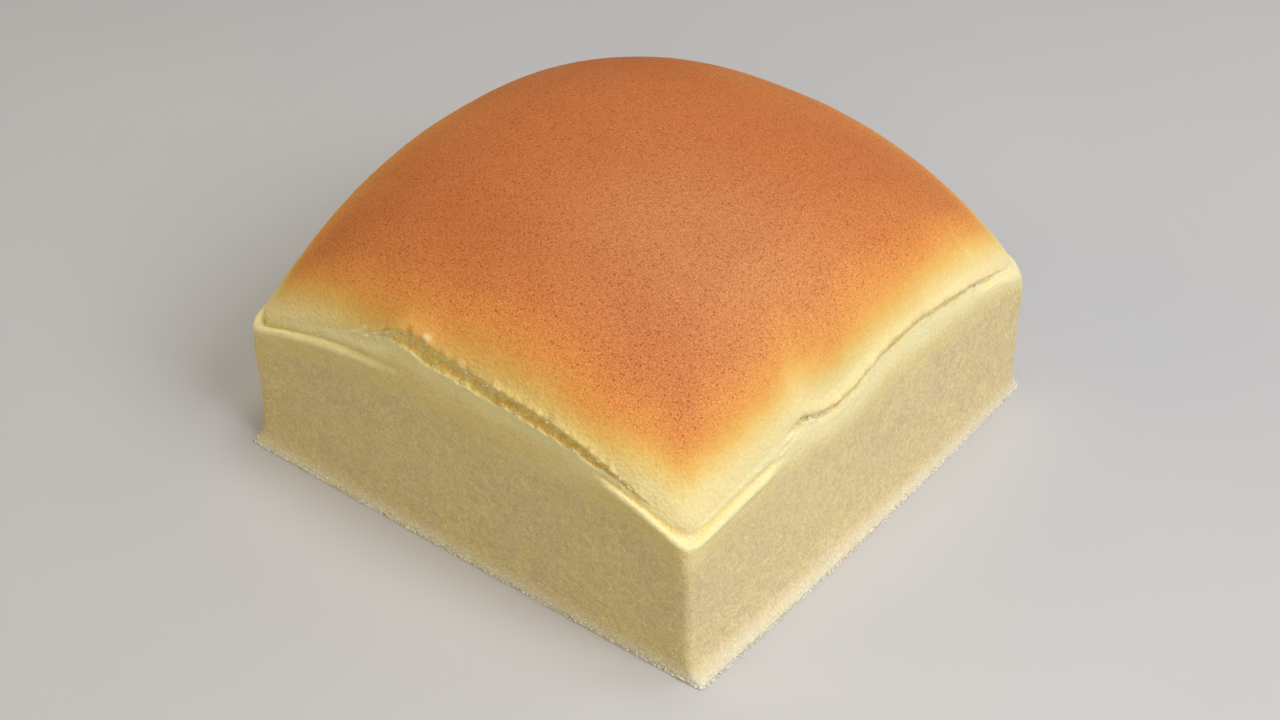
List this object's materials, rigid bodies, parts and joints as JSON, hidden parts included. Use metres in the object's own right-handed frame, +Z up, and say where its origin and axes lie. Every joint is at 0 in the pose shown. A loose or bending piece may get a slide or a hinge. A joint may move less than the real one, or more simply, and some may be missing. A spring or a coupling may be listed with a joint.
{
  "type": "castella sponge cake",
  "caption": "Uncut square sponge cake with straight pale sides, a thin rim ridge, a split along the sides and a high browned dome.",
  "frame": {"origin": "middle of the cake's box at its foot, on the surface it stands on", "axes": "+Z up through the dome; the side with the open split faces -Y; +X runs along the wider foot edge, towards the side with the thin split"},
  "size_m": [0.1624, 0.1554, 0.0904],
  "materials": {
    "sponge": "matte"
  },
  "bodies": {
    "root": {"cake": "sponge"}
  },
  "joints": []
}
